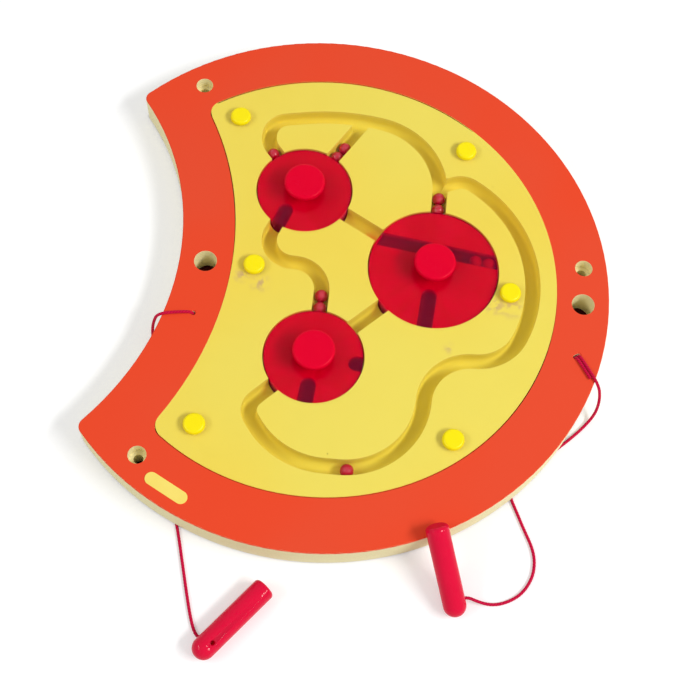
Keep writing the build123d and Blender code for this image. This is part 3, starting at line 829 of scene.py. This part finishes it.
def yellowMaterial(values):
    material, tree, shader = startMaterial("yellowLacquer", specular=values["specular"])
    paint = lacquer(tree, values)
    color = paint["Color"]
    # pinkish-grey patches laid over the paint
    for spot, reach, amount in values["tintedPatches"]:
        mask = useGroup(tree, softPatch, Place=spot, Reach=reach, Amount=amount)["Mask"]
        color = mixed(tree, mask, color, values["patchTint"])
    color = rubbedEdges(tree, color, values)
    # painted shade: the grooves are tinted deeper yellow below the top face
    grooveShaded = mixed(tree, 1.0, color, values["grooveShade"], "MULTIPLY")
    color = mixed(tree, heightAbove(tree, *values["grooveShadeEnds"]), grooveShaded, color)
    # painted light: the yellow board's outer wall in the joint is coloured bright orange
    outside = inverse(tree, crescent(tree, values["outerLevel"], values["outerArc"], values["outerBite"]))
    walls = times(tree, outside, inverse(tree, facing(tree)))
    tree.links.new(mixed(tree, walls, color, values["paintedJointLight"]), shader.inputs["Base Color"])
    tree.links.new(paint["Roughness"], shader.inputs["Roughness"])
    bump(tree, shader, paint["Height"], distance=0.00006)
    return material


clearCover = {
    "plastic": srgb(255, 255, 250),
    "haze": srgb(250, 250, 244),
    "hazeAmount": 0.3,
    "gloss": 0.0,
    "rubs": 0.05,
    "roughness": 0.2,  # share of the skin's roughness that shows
    "ior": 1.12,
    "specular": 0.1,
    "clearness": 1.0,  # the rest is haze
}
redPlate = {
    "plastic": srgb(248, 0, 132),
    "haze": srgb(242, 0, 120),
    "hazeAmount": 0.4,
    "gloss": 0.02,
    "rubs": 0.1,
    "roughness": 0.5,
    "ior": 1.08,
    "specular": 0.1,
    "clearness": 0.94,
}


def plasticSkin(tree, values):
    return useGroup(
        tree, mouldedSkin, Plastic=values["plastic"], Haze=values["haze"],
        Haze_Amount=values["hazeAmount"], Gloss=values["gloss"], Rubs=values["rubs"],
    )


def letLightThrough(tree, shader, tint):
    # lamps shine straight through to what lies below
    path = tree.nodes.new("ShaderNodeLightPath")
    passing = tree.nodes.new("ShaderNodeBsdfTransparent")
    passing.inputs[0].default_value = (*tint, 1)
    either = maths(tree, "MAXIMUM", path.outputs["Is Shadow Ray"], path.outputs["Is Diffuse Ray"])
    showMix(tree, either, shader.outputs[0], passing.outputs[0])


def sheetMaterial(name, values):
    material, tree, shader = startMaterial(
        name, specular=values["specular"], IOR=values["ior"], Transmission_Weight=values["clearness"],
    )
    skin = plasticSkin(tree, values)
    tree.links.new(skin["Color"], shader.inputs["Base Color"])
    tree.links.new(times(tree, skin["Roughness"], values["roughness"]), shader.inputs["Roughness"])
    letLightThrough(tree, shader, values["plastic"])
    return material


plastics = {
    "redDisc": {
        "slot": "disc_red", "plastic": srgb(230, 0, 92), "haze": srgb(220, 0, 86),
        "hazeAmount": 0.4, "gloss": 0.34, "rubs": 0.4, "specular": 0.04,
        "deepShade": srgb(128, 0, 42), "deepShadeEnds": (0.0220, 0.0308),  # painted shade, darker down in the slots
    },
    "redKnob": {
        "slot": "knob_red", "plastic": srgb(230, 0, 44), "haze": srgb(226, 0, 46),
        "hazeAmount": 0.4, "gloss": 0.2, "rubs": 0.3, "specular": 0.05,
    },
    "redBall": {
        "slot": "ball_red", "plastic": srgb(194, 0, 52), "haze": srgb(178, 0, 46),
        "hazeAmount": 0.3, "gloss": 0.04, "rubs": 0.05, "specular": 0.5,
    },
    "redWand": {
        "slot": "wand_red", "plastic": srgb(226, 0, 56), "haze": srgb(216, 0, 53),
        "hazeAmount": 0.4, "gloss": 0.05, "rubs": 0.12, "specular": 0.14,
    },
    "redMagnet": {
        "slot": "magnet_red", "plastic": srgb(228, 0, 58), "haze": srgb(216, 0, 54),
        "hazeAmount": 0.5, "gloss": 0.12, "rubs": 0.3, "specular": 0.13,
    },
    "yellowCap": {
        "slot": "cap_yellow", "plastic": srgb(255, 236, 2), "haze": srgb(250, 228, 6),
        "hazeAmount": 0.4, "gloss": 0.24, "rubs": 0.3, "specular": 0.2,
    },
    "clearCup": {
        "slot": "cup_plastic", "plastic": srgb(244, 226, 60), "haze": srgb(232, 214, 70),
        "hazeAmount": 0.3, "gloss": 0.35, "rubs": 0.2, "specular": 0.4,
    },
    "paleNylon": {
        "slot": "nylon", "plastic": srgb(236, 234, 224), "haze": srgb(220, 216, 200),
        "hazeAmount": 0.5, "gloss": 0.38, "rubs": 0.3, "specular": 0.4,
    },
    "softPad": {
        "slot": "pad_rubber", "plastic": srgb(58, 58, 60), "haze": srgb(84, 84, 84),
        "hazeAmount": 0.5, "gloss": 0.62, "rubs": 0.5, "specular": 0.3,
    },
    "yellowBadge": {
        "slot": "badge_yellow", "plastic": srgb(250, 226, 112), "haze": srgb(244, 216, 96),
        "hazeAmount": 0.5, "gloss": 0.4, "rubs": 0.3, "specular": 0.3,
    },
}


def plasticMaterial(name, values):
    material, tree, shader = startMaterial(name, specular=values["specular"])
    skin = plasticSkin(tree, values)
    color = skin["Color"]
    # painted shade: the disc is darkened towards the floor of its slots
    if "deepShade" in values:
        color = mixed(tree, heightAbove(tree, *values["deepShadeEnds"]), values["deepShade"], color)
    tree.links.new(color, shader.inputs["Base Color"])
    tree.links.new(skin["Roughness"], shader.inputs["Roughness"])
    bump(tree, shader, skin["Height"], distance=0.00004)
    return material


metals = {
    "zincSteel": {
        "slot": "steel", "metal": srgb(200, 200, 196), "dull": srgb(120, 120, 118),
        "dulling": 0.4, "gloss": 0.24,
    },
    "brass": {
        "slot": "insert_brass", "metal": srgb(216, 178, 96), "dull": srgb(140, 104, 46),
        "dulling": 0.5, "gloss": 0.22,
    },
}


def metalMaterial(name, values):
    material, tree, shader = startMaterial(name, Metallic=1.0)
    skin = useGroup(
        tree, turnedMetal, Metal=values["metal"], Dull=values["dull"],
        Dulling=values["dulling"], Gloss=values["gloss"],
    )
    tree.links.new(skin["Color"], shader.inputs["Base Color"])
    tree.links.new(skin["Roughness"], shader.inputs["Roughness"])
    bump(tree, shader, skin["Height"], distance=0.00002)
    return material


yarn = {
    "yarn": srgb(216, 0, 66),
    # valley: painted shade between the strands
    "valley": srgb(112, 0, 36),
    "specular": 0.12,
    "roughness": 0.6,
    "sheen": 0.05,
}


def cordMaterial(values, shape):
    material, tree, shader = startMaterial(
        "twistedYarn", specular=values["specular"],
        Roughness=values["roughness"], Sheen_Weight=values["sheen"],
    )
    skin = useGroup(
        tree, cordFibre, Yarn=values["yarn"], Valley=values["valley"],
        Lay=shape["lay"], Strands=shape["strands"],
    )
    tree.links.new(skin["Color"], shader.inputs["Base Color"])
    bump(tree, shader, skin["Height"], distance=0.00012)
    return material


finishes = {
    "panel_ply": plyMaterial(ply),
    "frame_orange": orangeMaterial(orangeFrame, ply),
    "maze_yellow": yellowMaterial(yellowBoard),
    "cover_clear": sheetMaterial("clearSheet", clearCover),
    "plate_red": sheetMaterial("redPlate", redPlate),
    "cord_red": cordMaterial(yarn, cordShape),
}
for name, values in plastics.items():
    finishes[values["slot"]] = plasticMaterial(name, values)
for name, values in metals.items():
    finishes[values["slot"]] = metalMaterial(name, values)


def dress(piece, material):
    piece.data.materials.clear()
    piece.data.materials.append(material)


for piece in nodes.values():
    dress(piece, finishes[piece.data.materials[0].name])
for tube in cordPieces.values():
    dress(tube, finishes["cord_red"])
dress(leftWand, finishes["wand_red"])
print("materials given:", len(finishes))


floorShape = {
    "size": 6.0,
    "squares": 8,
    "color": (0.8, 0.8, 0.8),
    "patches": (0.784, 0.784, 0.784),
    "patchSize": 3.0,
    "roughness": 0.9,
    "shadeUnderPanel": srgb(84, 30, 30),  # painted shade: dark floor under the panel, seen only through its holes
    "shadeUnderArc": (0.262, 0.268),
    "shadeUnderBite": (0.287, 0.291),
    "lift": 0.3,  # brightens the floor for the camera alone, outside the panel's outline
    "liftArc": (0.272, 0.276),
    "liftBite": (0.279, 0.283),
    "farLift": 0.36,  # added far off, where the lamps fade
    "farFrom": 0.6,
    "farTo": 2.6,
}


def seenDirectly(tree):
    # 1 for what the camera, a reflection or clear plastic shows, 0 for light on the panel
    path = tree.nodes.new("ShaderNodeLightPath").outputs
    either = maths(tree, "MAXIMUM", path["Is Camera Ray"], path["Is Glossy Ray"])
    return maths(tree, "MAXIMUM", either, path["Is Transmission Ray"])


def makeFloor(values):
    build = bmesh.new()
    squares = values["squares"]
    bmesh.ops.create_grid(build, x_segments=squares, y_segments=squares, size=values["size"] / 2)
    floor = addObject("floor", meshOf(build, "floor"))
    material, tree, shader = startMaterial("paleFloor", specular=0.0, Roughness=values["roughness"])
    patchy = noise(tree, place(tree), values["patchSize"], detail=2.0)
    soft = mixed(tree, patchy, values["color"], values["patches"])
    # painted shade: the floor under the panel is dark maroon
    shadeUnderPanel = crescent(tree, 0, values["shadeUnderArc"], values["shadeUnderBite"])
    tree.links.new(mixed(tree, shadeUnderPanel, soft, values["shadeUnderPanel"]), shader.inputs["Base Color"])
    outside = inverse(tree, crescent(tree, 0, values["liftArc"], values["liftBite"]))
    far = times(tree, distanceFrom(tree, (0, 0, 0), values["farFrom"], values["farTo"]), values["farLift"])
    lift = times(tree, times(tree, outside, plus(tree, far, values["lift"])), seenDirectly(tree))
    glow = tree.nodes.new("ShaderNodeEmission")
    tree.links.new(lift, glow.inputs["Strength"])
    both = tree.nodes.new("ShaderNodeAddShader")
    tree.links.new(shader.outputs[0], both.inputs[0])
    tree.links.new(glow.outputs[0], both.inputs[1])
    # from below the floor is clear, so that the panel's back shows
    below = tree.nodes.new("ShaderNodeNewGeometry").outputs["Backfacing"]
    passing = tree.nodes.new("ShaderNodeBsdfTransparent")
    showMix(tree, below, both.outputs[0], passing.outputs[0])
    dress(floor, material)


lamps = {
    "aim": (0.04, -0.02, 0.02),
    "distance": 4.0,
    "length": 2.2,
    "width": 0.6,
    "lamps": {  # direction and watts
        "leftLamp": ((-0.68, -0.24, 0.69), 34.0),
        "rightLamp": ((0.68, -0.20, 0.70), 95.0),
    },
}


def makeLamps(values):
    # a long soft lamp on each side, as the two glints on each ball show, the right one stronger
    for name, (direction, power) in values["lamps"].items():
        way = Vector(direction).normalized()
        data = bpy.data.lights.new(name, "AREA")
        data.shape = "RECTANGLE"
        data.size = values["length"]
        data.size_y = values["width"]
        data.energy = power
        lamp = addObject(name, data)
        lamp.location = Vector(values["aim"]) + way * values["distance"]
        lamp.rotation_mode = "QUATERNION"
        lamp.rotation_quaternion = way.to_track_quat("Z", "Y")


surroundings = {
    "color": (1, 1, 1, 1),
    "light": 0.47,  # how strongly it lights the panel; seen directly it is white
}


def makeWorld(values):
    world = bpy.data.worlds.new("studio")
    world.use_nodes = True
    tree = world.node_tree
    ground = tree.nodes["Background"]
    ground.inputs["Color"].default_value = values["color"]
    strength = plus(tree, times(tree, seenDirectly(tree), 1.0 - values["light"]), values["light"])
    tree.links.new(strength, ground.inputs["Strength"])
    bpy.context.scene.world = world


makeFloor(floorShape)
makeLamps(lamps)
makeWorld(surroundings)
bpy.context.scene.view_settings.view_transform = "Standard"
print("studio set")
